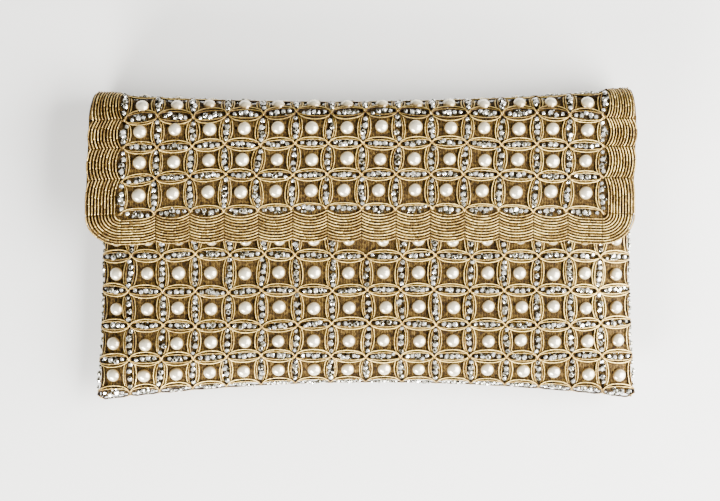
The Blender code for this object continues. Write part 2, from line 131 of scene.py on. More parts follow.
# How far rows stray from straight: in the middle, then how much they tilt, and bow at their ends
PANEL_SAG = (0.0007, -0.00055, 0.00085)
FLAP_SAG = (0.0, 0.00055, -0.00215)
LOW_ROW_BOW = (0.0023, 0.0004, -0.0030)
LOW_EDGE_BOW = (0.0011, 0.0003, -0.0016)
FLAP_EDGE_DEEP = 0.0147         # from the flap's lowest row to its border's outer edge

SNAP_Y = 0.0165
SNAP_CLEAR = 0.0112             # the embroidery stops this far from the snap's middle


def smoothstep(x):
    """0 up to 0, 1 from 1, and smooth between."""
    x = np.clip(x, 0.0, 1.0)
    return x * x * (3 - 2 * x)


def crown(h):
    """The rounded edge's height, from 0 on the seam to 1 on the flat."""
    h = np.clip(h, 0.0, 1.0)
    return (1 - (1 - h) ** POWER) ** (1 / POWER)


def crown_slope(h):
    """The slope of the rounded edge's height."""
    h = np.clip(h, 1e-4, 1.0)
    return (1 - h) ** (POWER - 1) * (1 - (1 - h) ** POWER) ** (1 / POWER - 1)


def edge_table(width, height):
    """Lengths along a rounded edge from the seam, and the distances inwards that they reach."""
    turn = np.linspace(math.pi / 2, 0, 400)
    inward = width * (1 - np.sin(turn) ** (2 / POWER))
    rise = height * np.cos(turn) ** (2 / POWER)
    steps = np.hypot(np.diff(inward), np.diff(rise))
    return np.concatenate([[0], np.cumsum(steps)]), inward


SIDE_TABLE = edge_table(SIDE_ROUNDING, HALF_THICKNESS - BEADS)
BOTTOM_TABLE = edge_table(BOTTOM_ROUNDING, HALF_THICKNESS - BEADS)
SIDE_ARC = HALF_WIDTH - EDGE_INSET - SIDE_ROUNDING + SIDE_TABLE[0][-1]
BOTTOM_MID_Y = -HALF_DEPTH + BOTTOM_DRAW_IN + EDGE_INSET


def inward(run, table):
    """How far from the edge a length along the surface from the seam reaches."""
    lengths, distances = table
    run = np.maximum(run, 0)
    return np.interp(run, lengths, distances) + np.maximum(run - lengths[-1], 0)


def half_width(y):
    """The body's half width, drawn in a little between its corners."""
    share = np.clip(y / HALF_DEPTH, -1, 1)
    return HALF_WIDTH - SIDE_DRAW_IN * (1 - share * share)


def bottom_y(x):
    """The body's bottom outline, drawn in between its corners."""
    share = np.clip(x / HALF_WIDTH, -1, 1)
    return -HALF_DEPTH + BOTTOM_DRAW_IN * (1 - share * share)


def fold_line(share):
    """Where the flat flap ends and the roll begins, for a share of the half width."""
    return FOLD_MID_Y + FOLD_BOW * share * share + FOLD_TILT * share


def share_of(u):
    """A place's share of the half width, let run a little past the seams."""
    return np.clip(u / HALF_WIDTH, -1.1, 1.1)


def eased(x, span):
    """0 up to the span's start, 1 from its length past that, and smooth between."""
    start, length = span
    return smoothstep((x - start) / length)


def bowed(share, shape):
    """How far a row strays from straight, for a share of the half width."""
    middle, tilt, bow = shape
    return middle + bow * share ** 2 + tilt * share


def body_surface(u, v, face=1.0, depth=0.0):
    """The point and normal of the pillow-shaped body: u across from the middle, v up from the bottom
    seam, both along the fabric. Past a seam it carries on round onto the other face, except where
    the back flattens towards the fold. depth goes inwards from the fabric's face."""
    u, v = np.broadcast_arrays(np.asarray(u, float), np.asarray(v, float))
    side = np.where((np.abs(u) > SIDE_ARC) != (v < 0), -face, face)
    hand = np.where(u < 0, -1.0, 1.0)
    over = np.minimum(np.abs(u), 2 * SIDE_ARC - np.abs(u))
    up = np.abs(v)
    from_side = inward(SIDE_ARC - over, SIDE_TABLE)
    share = hand * (HALF_WIDTH - from_side) / HALF_WIDTH
    corner_drop = BOTTOM_DRAW_IN * share ** 2 * np.exp(-up / CORNER_EASE)
    y = BOTTOM_MID_Y + inward(up, BOTTOM_TABLE) - corner_drop
    back = 1.0 if face < 0 else 0.0
    y = y + back * (fold_line(share) - FOLD_MID_Y) * eased(v, BACK_BOWS)
    y = y + depth * np.exp(-up / SEAM_EASE)
    edge = half_width(y) - EDGE_INSET - depth
    x = hand * edge * (1 - from_side / (HALF_WIDTH - EDGE_INSET))
    x = x + back * eased(v, BACK_SPREADS) * (u - x)
    from_bottom = np.maximum(y - bottom_y(x) - EDGE_INSET - depth, 0)
    relax = back * eased(y, BACK_FLATTENS)
    side_height = crown(from_side / SIDE_ROUNDING)
    bottom_height = crown(from_bottom / BOTTOM_ROUNDING)
    rise = HALF_THICKNESS - BEADS - depth
    pillow = side * (SEAM_GAP + rise * side_height * bottom_height * (1 - relax))
    z = MIDDLE_Z + pillow + face * rise * bottom_height * relax
    slope_x = hand * rise * crown_slope(from_side / SIDE_ROUNDING) / SIDE_ROUNDING
    slope_x = slope_x * bottom_height * (1 - relax)
    across_height = side_height + (1 - side_height) * relax
    slope_y = -rise * across_height * crown_slope(from_bottom / BOTTOM_ROUNDING) / BOTTOM_ROUNDING
    normal = np.stack([slope_x, slope_y, side * (1 - relax) + face * relax], -1)
    normal /= np.linalg.norm(normal, axis=-1, keepdims=True)
    low_part = smoothstep((LOW_PART_TOP - y) / LOW_PART_EASE)
    past_seam = SIDE_EXTRA * np.exp(-(SIDE_ARC - over) / SEAM_EASE)
    x = x * (1 + (BODY_STRETCH - 1) * low_part) + (BODY_SHIFT + hand * past_seam) * low_part
    y = y - bowed(share, PANEL_SAG) * smoothstep((SAG_TOP - up) / SAG_EASE)
    y = y - BOTTOM_EXTRA * np.exp(-up / BOTTOM_EASE)
    return np.stack([x, y, z], -1), normal


def low_bow(share, q):
    """How far the flap's lowest row bows up in its middle, and the border's outer edge less so."""
    row, edge = bowed(share, LOW_ROW_BOW), bowed(share, LOW_EDGE_BOW)
    return row + (edge - row) * np.clip(-q / FLAP_EDGE_DEEP, 0, 1)


def chain_run(u, q):
    """The run past the start of the front roll, for a place on the chain of rows."""
    share = share_of(u)
    line = fold_line(share)
    upper = smoothstep(q / LOW_ROW_EASE)
    sag = bowed(share, FLAP_SAG) * upper + low_bow(share, q) * (1 - upper)
    start = line - FLAP_ROW_Y - sag
    extra = start - (FOLD_MID_Y - FLAP_ROW_Y)
    spread = 1 + extra / (CHAIN_FOLD - CHAIN_SPREAD_FROM)
    past = q - CHAIN_SPREAD_FROM
    bent = np.where(past > 0, CHAIN_SPREAD_FROM + past * spread, q)
    return bent - start, line


def fold_proud(u):
    """How far the fold bellies out past its roll, most under the padded border."""
    return FOLD_PROUD + BORDER_PAD * eased(np.abs(u), PAD_STARTS)


def border_narrow(q):
    """How much the border's width closes up on its way over the fold."""
    return 1 - 0.20 * eased(q, BORDER_CLOSES) + 0.06 * eased(q, BORDER_OPENS)


def flap_shifted(u, q):
    """A place across, moved over as the flap is against the fold."""
    return u + FLAP_SHIFT * smoothstep((FLAP_SHIFT_TOP - q) / FLAP_SHIFT_EASE)


def rolled(u, run, line, radius):
    """The fold's y and z at a run past the front roll's start, and how far it has turned there."""
    front = np.clip(run / ROLL_ARC, 0, 1) * math.pi / 2
    rear = np.clip((run - ROLL_ARC - WALL_ARC) / ROLL_ARC, 0, 1) * math.pi / 2
    wall = np.clip(run - ROLL_ARC, 0, WALL_ARC)
    turn = front + rear
    y = line + (radius + fold_proud(u)) * np.sin(turn)
    z = FRONT_ROLL_Z - wall + radius * np.cos(turn)
    return y, z, turn


def chain_surface(u, q):
    """The point and normal of the flap, the fold and the back: u across, q along the chain of rows."""
    u, q = np.broadcast_arrays(np.asarray(u, float), np.asarray(q, float))
    run, line = chain_run(u, q)
    y, z, turn = rolled(u, run, line, ROLL)
    normal = np.stack([np.zeros_like(turn), np.sin(turn), np.cos(turn)], -1)
    point = np.stack([flap_shifted(u, q), y + np.minimum(run, 0), z], -1)
    point_back, normal_back = body_surface(u, CHAIN_END - q, -1.0)
    on_back = (q > CHAIN_FOLD)[..., None]
    return np.where(on_back, point_back, point), np.where(on_back, normal_back, normal)


def surface(zone, u, w):
    """The point and normal of the front, or of the chain of flap, fold and back."""
    if zone == "front":
        return body_surface(u, w)
    return chain_surface(u, w)


# ---------------------------------------------------------------- mesh helpers


def template(bm):
    """A bmesh's vertices and faces as arrays, so that it can be copied to many places: the points,
    each face's number of corners, and the corners in turn."""
    bm.verts.index_update()
    points = np.array([v.co for v in bm.verts])
    totals = np.array([len(f.verts) for f in bm.faces])
    corners = np.array([v.index for f in bm.faces for v in f.verts])
    bm.free()
    return points, totals, corners


def tiled(name, shape, places, label, values, facets=None):
    """One object of many copies of a template: places holds each copy's vertices, and values a
    vector for each of them under the label. Copies with a value for each facet aren't smooth."""
    points, totals, corners = shape
    copies, count = places.shape[0], len(points)
    mesh = bpy.data.meshes.new(name)
    mesh.vertices.add(copies * count)
    mesh.vertices.foreach_set("co", places.reshape(-1).astype(np.float32))
    all_totals = np.tile(totals, copies)
    starts = np.concatenate([[0], np.cumsum(all_totals)[:-1]])
    offsets = np.repeat(np.arange(copies) * count, len(corners))
    mesh.loops.add(copies * len(corners))
    mesh.loops.foreach_set("vertex_index", (np.tile(corners, copies) + offsets).astype(np.int32))
    mesh.polygons.add(copies * len(totals))
    mesh.polygons.foreach_set("loop_start", starts.astype(np.int32))
    mesh.polygons.foreach_set("loop_total", all_totals.astype(np.int32))
    mesh.polygons.foreach_set("use_smooth", np.full(copies * len(totals), facets is None))
    layer = mesh.attributes.new(label, "FLOAT_VECTOR", "POINT")
    layer.data.foreach_set("vector", values.reshape(-1).astype(np.float32))
    if facets is not None:
        layer = mesh.attributes.new("facet", "FLOAT", "FACE")
        layer.data.foreach_set("value", facets.reshape(-1).astype(np.float32))
    mesh.update(calc_edges=True)
    mesh.validate()
    return linked(name, mesh)


def linked(name, mesh):
    """An object for a mesh, in the scene."""
    piece = bpy.data.objects.new(name, mesh)
    bpy.context.scene.collection.objects.link(piece)
    return piece


CORD_SIDES = 6


def outwards(bm):
    """Turns a closed shape's faces outwards."""
    bmesh.ops.recalc_face_normals(bm, faces=bm.faces[:])
    if bm.calc_volume(signed=True) < 0:
        bmesh.ops.reverse_faces(bm, faces=bm.faces[:])


def tube_template(rings):
    """A closed tube of that many rings along +Z, one apart, with a unit radius."""
    bm = bmesh.new()
    bmesh.ops.create_circle(bm, cap_ends=True, segments=CORD_SIDES, radius=1.0)
    end = bm.faces[:][0]
    for number in range(rings - 1):
        made = bmesh.ops.extrude_face_region(bm, geom=[end], use_keep_orig=True)
        new_end = [g for g in made["geom"] if isinstance(g, bmesh.types.BMFace)][0]
        if number:
            bmesh.ops.delete(bm, geom=[end], context="FACES_ONLY")
        end = new_end
        bmesh.ops.translate(bm, vec=(0, 0, 1), verts=end.verts[:])
    outwards(bm)
    return template(bm)


def swept(name, points, normals, radius, seed, tones=None):
    """Tubes along paths. points and normals are (paths, rings, 3), and tones how light each cord is
    at each ring, from 0 to 1: its own tone, with painted shade where it dives in at a crossing."""
    paths, rings = points.shape[:2]
    shape = tube_template(rings)
    ring = np.rint(shape[0][:, 2]).astype(int)
    tangent = np.gradient(points, axis=1)
    tangent /= np.maximum(np.linalg.norm(tangent, axis=-1, keepdims=True), 1e-9)
    across = np.cross(normals, tangent)
    across /= np.maximum(np.linalg.norm(across, axis=-1, keepdims=True), 1e-9)
    up = np.cross(tangent, across)
    spot = across[:, ring] * shape[0][None, :, 0:1] + up[:, ring] * shape[0][None, :, 1:2]
    places = points[:, ring] + spot * radius
    steps = np.linalg.norm(np.diff(points, axis=1), axis=-1)
    run = np.concatenate([np.zeros((paths, 1)), np.cumsum(steps, axis=1)], axis=1)
    draw = np.random.default_rng(seed).random((paths, 1)) * np.ones((1, rings))
    if tones is not None:
        draw = 0.35 * draw + 0.65 * tones
    cord = np.zeros(places.shape)
    cord[..., 0] = run[:, ring]
    cord[..., 1] = shape[0][None, :, 1]
    cord[..., 2] = draw[:, ring]
    return tiled(name, shape, places, "cord", cord)


def joined(name, pieces):
    """Several tube objects as one."""
    bpy.ops.object.select_all(action="DESELECT")
    for piece in pieces:
        piece.select_set(True)
    bpy.context.view_layer.objects.active = pieces[0]
    bpy.ops.object.join()
    pieces[0].name = name
    pieces[0].data.name = name
    return pieces[0]


def pearl_template():
    """A pearl of unit radius, flattened where it is sewn down."""
    bm = bmesh.new()
    bmesh.ops.create_uvsphere(bm, u_segments=20, v_segments=14, radius=1.0)
    everything = bm.verts[:] + bm.edges[:] + bm.faces[:]
    cut = bmesh.ops.bisect_plane(bm, geom=everything, plane_co=(0, 0, -0.3), plane_no=(0, 0, -1),
                                 clear_outer=True)
    rim = [g for g in cut["geom_cut"] if isinstance(g, bmesh.types.BMEdge)]
    bmesh.ops.holes_fill(bm, edges=rim, sides=0)
    outwards(bm)
    return template(bm)


def crystal_template():
    """A round cut stone of unit radius: a table, a ring of crown facets and a girdle."""
    bm = bmesh.new()
    bmesh.ops.create_cone(bm, cap_ends=True, segments=8, radius1=1.0, radius2=0.50, depth=0.62)
    bmesh.ops.translate(bm, vec=(0, 0, 0.61), verts=bm.verts[:])
    side = [e for e in bm.edges if abs(e.verts[0].co.z - e.verts[1].co.z) > 0.3]
    cuts = bmesh.ops.subdivide_edges(bm, edges=side, cuts=1)
    middle = {g for g in cuts["geom_inner"] if isinstance(g, bmesh.types.BMVert)}
    turn = math.cos(math.pi / 8) + 1j * math.sin(math.pi / 8)
    bulge = 1.13
    for vert in middle:
        spot = complex(vert.co.x, vert.co.y) * turn
        vert.co.x, vert.co.y = spot.real * bulge, spot.imag * bulge
    bmesh.ops.triangulate(bm, faces=[f for f in bm.faces if len(f.verts) == 4])
    base = [f for f in bm.faces if f.normal.z < -0.9]
    made = bmesh.ops.extrude_face_region(bm, geom=base)
    low = [g for g in made["geom"] if isinstance(g, bmesh.types.BMVert)]
    bmesh.ops.translate(bm, vec=(0, 0, -0.30), verts=low)
    bmesh.ops.delete(bm, geom=[f for f in base if f.is_valid], context="FACES_ONLY")
    outwards(bm)
    return template(bm)


def scattered(name, shape, points, normals, radii, squash, tilt, rng, sparkle=None):
    """Copies of a template standing on the surface, each turned and tilted a little. sparkle is how
    bright the painted reflections on each faceted copy are, and None for smooth ones."""
    count = len(points)
    normals = normals + rng.normal(0, tilt, normals.shape)
    normals /= np.linalg.norm(normals, axis=-1, keepdims=True)
    helper = np.where(np.abs(normals[:, :1]) < 0.8, [[1.0, 0, 0]], [[0, 1.0, 0]])
    side = np.cross(helper, normals)
    side /= np.linalg.norm(side, axis=-1, keepdims=True)
    ahead = np.cross(normals, side)
    turn = rng.uniform(0, 2 * math.pi, count)[:, None]
    first = side * np.cos(turn) + ahead * np.sin(turn)
    second = ahead * np.cos(turn) - side * np.sin(turn)
    local = shape[0]
    places = (first[:, None] * local[None, :, 0:1] + second[:, None] * local[None, :, 1:2]
              + normals[:, None] * local[None, :, 2:3] * squash)
    places = points[:, None] + places * radii[:, None, None]
    draw = np.zeros(places.shape)
    draw[..., 0] = rng.random(count)[:, None]
    draw[..., 1] = rng.random(count)[:, None]
    draw[..., 2] = local[None, :, 2]
    facets = None
    if sparkle is not None:
        starts = np.concatenate([[0], np.cumsum(shape[1])[:-1]])
        heights = np.add.reduceat(local[shape[2], 2], starts) / shape[1]
        heights = heights / heights.max()
        # painted reflection: a random brightness for each facet, with a painted highlight on the facets
        # nearest the top
        facets = (0.72 * rng.random((count, len(heights))) + 0.28 * heights ** 3) * sparkle[:, None]
    return tiled(name, shape, places, "draw", draw, facets)


# ---------------------------------------------------------------- the lattice

CHAIN_STOPS_SHORT = 0.0004      # the last uprights end this far from the bottom seam


def column(step):
    """The body's columns, a little closer together towards the side seams."""
    share = step / COLUMNS
    return SIDE_ARC * share * (1 + 0.055 * (1 - share ** 2))


def chain_column(step, q):
    """The flap's even columns, which meet the body's on the back."""
    onto_back = eased(q, MEETS_BACK)
    return FLAP_PITCH * step * (1 - onto_back) + column(step) * onto_back


def corner(zone, step, row, wander):
    """A lattice corner's place, with the hand-made wander of its own."""
    if zone == "front":
        u, w = column(step), FRONT_PETALS[row]
    else:
        u, w = chain_column(step, CHAIN_PETALS[row]), CHAIN_PETALS[row]
    rng = np.random.default_rng(seed_of(zone, step, row))
    du, dw = rng.normal(0, wander, 2)
    if zone == "front" and abs(step) == COLUMNS:
        du = 0.0
    if zone == "front" and row == 0:
        dw = 0.0
    return np.array([u + du, w + dw])


def seed_of(zone, step, row):
    """A seed of its own for each place of the lattice, so that its wander is always the same."""
    zone_part = (1 if zone == "front" else 2) * 100003
    return zone_part + int(round(step * 2) + 40) * 1009 + int(row * 2) * 31


def clear_of_snap(zone, place, reach):
    """Whether a place on the front is clear of the snap's socket."""
    if zone != "front":
        return True
    snap = np.array([0.0, SNAP_Y - BOTTOM_MID_Y - BOTTOM_ROUNDING + BOTTOM_TABLE[0][-1]])
    return np.linalg.norm(np.asarray(place) - snap) > reach


def group_of(zone, cell):
    """The body set that a row of cells belongs to."""
    if zone == "front":
        return "front"
    if cell < 2:
        return "flap"
    if cell < 4:
        return "fold_front"
    if cell < 6:
        return "fold_back"
    return "back"


def widest(zone, cell):
    """Cells from the middle to the outer column, for a row of cells."""
    return COLUMNS if zone == "front" or cell >= 6 else FLAP_COLUMNS


def petals(settings):
    """Every crystal petal: its group, zone, two ends and whether it lies across."""
    wander = settings.wander
    found = []
    for zone, rows in (("front", FRONT_PETALS), ("chain", CHAIN_PETALS)):
        for row in range(len(rows)):
            cells = widest(zone, row)
            for step in range(-cells, cells):
                first = corner(zone, step, row, wander)
                last = corner(zone, step + 1, row, wander)
                found.append((group_of(zone, row), zone, first, last, True))
        for row in range(len(rows) - (1 if zone == "front" else 0)):
            cells = widest(zone, row)
            for step in range(-cells, cells + 1):
                if zone == "chain" and abs(step) == COLUMNS:
                    continue
                first = corner(zone, step, row, wander)
                if zone == "chain" and row == len(rows) - 1:
                    last = np.array([column(step), CHAIN_END - CHAIN_STOPS_SHORT])
                else:
                    last = corner(zone, step, row + 1, wander)
                found.append((group_of(zone, row), zone, first, last, False))
    return [p for p in found if clear_of_petal(p)]


def clear_of_petal(petal):
    """Whether a whole petal is clear of the snap's socket."""
    _, zone, first, last, _ = petal
    shares = np.linspace(0, 1, 5)[:, None]
    spots = first + (last - first) * shares
    return all(clear_of_snap(zone, spot, SNAP_CLEAR) for spot in spots)


def pearl_places(settings):
    """Every pearl: its group, zone and place."""
    found = []
    for zone, rows in (("front", FRONT_PEARLS), ("chain", CHAIN_PEARLS)):
        for row, w in enumerate(rows):
            cells = widest(zone, row)
            for step in range(-cells, cells):
                half = step + 0.5
                u = column(half) if zone == "front" else chain_column(half, w)
                rng = np.random.default_rng(seed_of(zone, half, row + 0.5))
                place = np.array([u, w]) + rng.normal(0, settings.wander * 0.6, 2)
                if clear_of_snap(zone, place, SNAP_CLEAR + 0.001):
                    found.append((group_of(zone, row), zone, place))
    return found


# ---------------------------------------------------------------- materials


def shader(name, colour, metallic=0.0, roughness=0.5, coat=0.0, sheen=0.0, specular=0.5):
    """A new material, its node tree and its surface node."""
    material = bpy.data.materials.new("look_" + name)
    material.use_nodes = True
    surface_node = material.node_tree.nodes["Principled BSDF"]
    surface_node.inputs["Base Color"].default_value = (*colour, 1)
    surface_node.inputs["Metallic"].default_value = metallic
    surface_node.inputs["Roughness"].default_value = roughness
    surface_node.inputs["Coat Weight"].default_value = coat
    surface_node.inputs["Coat Roughness"].default_value = 0.06
    surface_node.inputs["Sheen Weight"].default_value = sheen
    surface_node.inputs["Specular IOR Level"].default_value = specular
    return material, material.node_tree, surface_node


def tinted(tree, out, source, stops):
    """Colours the surface from a value by a ramp of (place, colour) stops."""
    made = tree.nodes.new("ShaderNodeValToRGB")
    elements = made.color_ramp.elements
    while len(elements) < len(stops):
        elements.new(0.5)
    for element, (place, colour) in zip(elements, stops):
        element.position = place
        element.color = (*colour, 1)
    tree.links.new(source, made.inputs["Fac"])
    tree.links.new(made.outputs["Color"], out.inputs["Base Color"])


def bump(tree, out, source, strength, distance):
    """Raises the surface by a value."""
    made = tree.nodes.new("ShaderNodeBump")
    made.inputs["Strength"].default_value = strength
    made.inputs["Distance"].default_value = distance
    tree.links.new(source, made.inputs["Height"])
    tree.links.new(made.outputs["Normal"], out.inputs["Normal"])


def texture(tree, kind, **inputs):
    """A texture on the piece's own coordinates. It returns the node."""
    coordinates = tree.nodes.new("ShaderNodeTexCoord")
    made = tree.nodes.new(kind)
    for label, value in inputs.items():
        made.inputs[label.replace("_", " ")].default_value = value
    tree.links.new(coordinates.outputs["Object"], made.inputs["Vector"])
    return made


def channels(tree, label):
    """The three values of a piece's attribute."""
    place = tree.nodes.new("ShaderNodeAttribute")
    place.attribute_name = label
    split = tree.nodes.new("ShaderNodeSeparateXYZ")
    tree.links.new(place.outputs["Vector"], split.inputs[0])
    return split.outputs


def math_node(tree, operation, first, second=None, third=None):
    """One step of arithmetic on numbers or other nodes' outputs."""
    made = tree.nodes.new("ShaderNodeMath")
    made.operation = operation
    for index, value in enumerate((first, second, third)):
        if value is None:
            continue
        if isinstance(value, (int, float)):
            made.inputs[index].default_value = value
        else:
            tree.links.new(value, made.inputs[index])
    return made.outputs[0]


def cord_material(name, light, mid, dark, coil, spread):
    """Metal thread wound over a core: fine coils across the cord, with a painted highlight along its top
    and painted shade down its sides. coil is the length of one turn, and spread how much the tones differ."""
    material, tree, out = shader(name, mid, 0.70, 0.32)
    run, up, draw = channels(tree, "cord")
    winding = math_node(tree, "MULTIPLY", run, 2 * math.pi / coil)
    winding = math_node(tree, "MULTIPLY_ADD", up, 1.6, winding)
    ridge = math_node(tree, "SINE", winding)
    ridge = math_node(tree, "MULTIPLY_ADD", ridge, 0.5, 0.5)
    noise = texture(tree, "ShaderNodeTexNoise", Scale=900.0, Detail=3.0)
    shade = math_node(tree, "MULTIPLY_ADD", noise.outputs["Fac"], 0.8, -1.72 - spread / 2)
    shade = math_node(tree, "MULTIPLY_ADD", ridge, 0.20, shade)
    shade = math_node(tree, "MULTIPLY_ADD", draw, spread, shade)
    # painted highlight and shade: the cord's top is painted light and its sides dark, whatever the lamps do
    shade = math_node(tree, "MULTIPLY_ADD", up, 1.90, shade)
    tinted(tree, out, shade, [(0.0, dark), (0.36, mid), (0.70, light)])
    bump(tree, out, ridge, 0.55, 0.00010)
    return material


def pearl_material(colour):
    """Cream pearl with a soft lustre, with painted shade and a painted warm reflection of the gold around
    it down its sides.
    """
    material, tree, out = shader("pearl", (0.50, 0.44, 0.32), 0.45, 0.24, 1.0, 0.0, 0.8)
    own_tone, _, height = channels(tree, "draw")
    height = math_node(tree, "MULTIPLY_ADD", own_tone, 0.10, height)
    # painted shade and painted reflection: the colour runs by height from cream on top to a warm dark brown
    # down the sides
    tinted(tree, out, height, [(0.0, (0.085, 0.042, 0.010)), (0.42, (0.27, 0.175, 0.060)),
                               (0.72, (0.61, 0.52, 0.335)), (1.0, colour)])
    noise = texture(tree, "ShaderNodeTexNoise", Scale=420.0)
    bump(tree, out, noise.outputs["Fac"], 0.05, 0.0002)
    return material


def crystal_material(colour):
    """Foiled cut crystal: facets painted bright and dark side by side, a painted reflection of the lights.
    """
    material, tree, out = shader("crystal", (0.8, 0.81, 0.80), 0.75, 0.06, 1.0)
    facet = tree.nodes.new("ShaderNodeAttribute")
    facet.attribute_name = "facet"
    # painted reflection: each facet's colour comes from the painted brightness stored on it
    tinted(tree, out, facet.outputs["Fac"],
           [(0.0, (0.008, 0.006, 0.002)), (0.34, (0.055, 0.047, 0.022)),
            (0.52, (0.32, 0.31, 0.22)), (0.68, colour)])
    return material


def fabric_material(colour):
    """Tan ground fabric of fine metal and silk thread."""
    material, tree, out = shader("ground_fabric", (0.13, 0.075, 0.022), 0.0, 0.74, 0.0, 0.0, 0.12)
    noise = texture(tree, "ShaderNodeTexNoise", Scale=700.0, Detail=4.0)
    weave = texture(tree, "ShaderNodeTexWave", Scale=420.0, Distortion=3.0, Detail_Scale=3.0)
    shade = math_node(tree, "MULTIPLY_ADD", weave.outputs["Fac"], 0.35, noise.outputs["Fac"])
    tinted(tree, out, shade, [(0.45, (0.010, 0.0045, 0.0006)), (0.72, (0.042, 0.022, 0.004)),
                              (1.0, colour)])
    bump(tree, out, shade, 0.6, 0.0002)
    return material


def satin_material(colour, dark):
    """Champagne satin with a fine twill."""
    material, tree, out = shader("satin", colour, 0.0, 0.34, 0.0, 0.35, 0.6)
    twill = texture(tree, "ShaderNodeTexWave", Scale=900.0, Distortion=0.4)
    twill.bands_direction = "DIAGONAL"
    slub = texture(tree, "ShaderNodeTexNoise", Scale=60.0)
    shade = math_node(tree, "MULTIPLY_ADD", twill.outputs["Fac"], 0.25, slub.outputs["Fac"])
    tinted(tree, out, shade, [(0.35, dark), (0.85, colour)])
    bump(tree, out, twill.outputs["Fac"], 0.25, 0.00005)
    return material


def mottled_material(name, colour, metallic, roughness, scale, strength):
    """Board, wadding or metal with a fine grain of its own."""
    material, tree, out = shader(name, colour, metallic, roughness)
    noise = texture(tree, "ShaderNodeTexNoise", Scale=scale, Detail=5.0)
    darker = tuple(c * 0.72 for c in colour)
    tinted(tree, out, noise.outputs["Fac"], [(0.3, darker), (0.7, colour)])
    bump(tree, out, noise.outputs["Fac"], strength, 0.0002)
    return material


FINISHES = {
    "bullion": lambda chosen: cord_material(
        "bullion", chosen.bullion_colour, (0.30, 0.160, 0.018), (0.014, 0.005, 0.0004),
        0.00052, 0.34),
    "petal_cord": lambda chosen: cord_material(
        "petal_cord", chosen.cord_colour, (0.28, 0.150, 0.017), (0.013, 0.004, 0.0003),
        0.00062, 0.42),
    "pearl": lambda chosen: pearl_material(chosen.pearl_colour),
    "crystal": lambda chosen: crystal_material(chosen.crystal_colour),
    "ground_fabric": lambda chosen: fabric_material(chosen.fabric_colour),
    "satin": lambda chosen: satin_material(chosen.satin_colour, (0.36, 0.24, 0.10)),
    "board": lambda _: mottled_material("board", (0.55, 0.47, 0.36), 0.0, 0.85, 240.0, 0.4),
    "wadding": lambda _: mottled_material("wadding", (0.78, 0.76, 0.70), 0.0, 0.95, 500.0, 0.6),
    "snap_metal": lambda _: mottled_material(
        "snap_metal", (0.82, 0.66, 0.36), 1.0, 0.24, 300.0, 0.06),
    "magnet_metal": lambda _: mottled_material(
        "magnet_metal", (0.60, 0.60, 0.62), 1.0, 0.30, 300.0, 0.06),
}


def finish_with(piece, name):
    """Gives a piece a finish, which is made the first time that it is asked for."""
    made = bpy.data.materials.get("look_" + name)
    material = made or FINISHES[name](bpy.context.scene.clutch)
    piece.data.materials.clear()
    piece.data.materials.append(material)


# ---------------------------------------------------------------- attaching to the frame


def attach(piece, group):
    """Rides the flap's or the bag's body; a piece on the fold only has its transform baked in."""
    if group == "flap":
        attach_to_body(piece, "flap")
    elif group == "fold_front":
        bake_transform(piece)
    elif group == "fold_back":
        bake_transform(piece)
    else:
        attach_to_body(piece, "bag")


REPLACED = {
    "pearls_front": ("front_embroidery",),
    "pearls_back": ("back_embroidery",),
    "pearls_fold_back": ("fold_embroidery",),
    "pearls_flap": ("flap_embroidery",),
    "bullion_flap": ("flap_border",),
}


GROUPS = ("front", "back", "fold_back", "fold_front", "flap")


def settle(piece, group, finish):
    """Dresses a piece of the embroidery and attaches it."""
    finish_with(piece, finish)
    if piece.name in REPLACED:
        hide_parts(*REPLACED[piece.name])
    attach(piece, group)


# ---------------------------------------------------------------- the pieces


def make_pearls(settings):
    """The half pearls, one in each cell."""
    shape = pearl_template()
    places = pearl_places(settings)
    rng = np.random.default_rng(settings.seed)
    for group in GROUPS:
        mine = [p for p in places if p[0] == group]
        spots = np.array([p[2] for p in mine])
        points, normals = surface(mine[0][1], spots[:, 0], spots[:, 1])
        radii = settings.pearl_radius * rng.normal(1.0, 0.025, len(mine))
        piece = scattered("pearls_" + group, shape, points + normals * 0.0001, normals, radii,
                          0.90, 0.05, rng)
        settle(piece, group, "pearl")


def petal_frame(petal):
    """A petal's middle, direction, sideways direction and length on the fabric."""
    _, _, first, last, _ = petal
    along = last - first
    length = np.linalg.norm(along)
    along = along / length
    return (first + last) / 2, along, np.array([-along[1], along[0]]), length


SHORT_PETAL = 0.0158            # petals shorter than this hold four large crystals, not five


def petal_stones(petal, settings, rng):
    """One petal's crystals: places, radii and heights."""
    middle, along, sideways, length = petal_frame(petal)
    lying = petal[4]
    big = settings.crystal_radius * (0.94 if lying else 1.0)
    count = 4 if length < SHORT_PETAL else 5
    reach = length / 2 - (0.0034 if lying else 0.0027)
    spots, radii, lifts = [], [], []
    for index in range(count):
        share = (index / (count - 1)) * 2 - 1
        size = big * (1 - 0.20 * abs(share) ** 2) * rng.uniform(0.88, 1.06)
        aside = rng.normal(0, 0.00038)
        run = share * reach + rng.normal(0, 0.00025)
        spots.append(middle + along * run + sideways * aside)
        radii.append(size)
        lifts.append(rng.uniform(0.0005, 0.0010))
    for index in range(6 if lying else 4):
        run = rng.uniform(-0.72, 0.72) * reach
        hand = 1 if index % 2 else -1
        aside = hand * rng.uniform(0.00125, 0.00165) * (1 - (run / (length / 2)) ** 2)
        spots.append(middle + along * run + sideways * aside)
        radii.append(settings.crystal_radius * rng.uniform(0.42, 0.58))
        lifts.append(rng.uniform(0.0002, 0.0006))
    return spots, radii, lifts


SMALL_STONE = 0.62              # stones under this share of a full radius are small, and their painted facet reflections are dimmer


